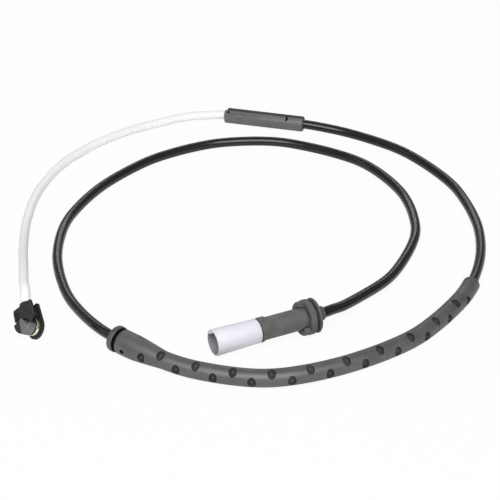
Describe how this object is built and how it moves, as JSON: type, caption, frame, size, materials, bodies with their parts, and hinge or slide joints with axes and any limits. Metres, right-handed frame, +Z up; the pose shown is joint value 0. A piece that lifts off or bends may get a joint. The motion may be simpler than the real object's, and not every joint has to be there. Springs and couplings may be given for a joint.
{
  "type": "brake pad wear sensor",
  "caption": "Brake pad wear sensor lying on the floor, with a moulded head, white heat hose, clip splice, black cable in a rubber sleeve and round plug.",
  "frame": {"origin": "on the floor, under the middle of the sensing head", "axes": "+Z up, +Y back along the hose where it leaves the head, +X to the right towards the plug"},
  "size_m": [0.2091, 0.2248, 0.0157],
  "materials": {
    "head_housing": "satin",
    "spring_ring": "satin",
    "wear_tip": "satin",
    "contact_loop": "bright",
    "heat_hose": "satin",
    "splice_shell": "satin",
    "splice_shell_rear": "satin",
    "crimp": "satin",
    "hose_core": "satin",
    "cable_core": "bright",
    "lead_cable": "gloss",
    "rubber_sleeve": "matte",
    "plug_shell": "satin",
    "plug_housing": "satin",
    "plug_grommet": "matte",
    "contact_carrier": "satin",
    "contact_pin": "bright"
  },
  "bodies": {
    "root": {"head_housing": "head_housing", "spring_ring": "spring_ring", "wear_tip": "wear_tip", "contact_loop": "contact_loop", "heat_hose": "heat_hose", "splice_shell_front": "splice_shell", "splice_shell_rear": "splice_shell_rear", "splice_crimp_1": "crimp", "splice_crimp_2": "crimp", "hose_core_1": "hose_core", "hose_core_2": "hose_core", "cable_core_1": "cable_core", "cable_core_2": "cable_core", "lead_cable": "lead_cable", "rubber_sleeve": "rubber_sleeve", "plug_shell": "plug_shell", "plug_housing": "plug_housing", "plug_grommet": "plug_grommet", "contact_carrier": "contact_carrier", "contact_pin_1": "contact_pin", "contact_pin_2": "contact_pin", "plug_core_1": "cable_core", "plug_core_2": "cable_core"}
  },
  "joints": []
}
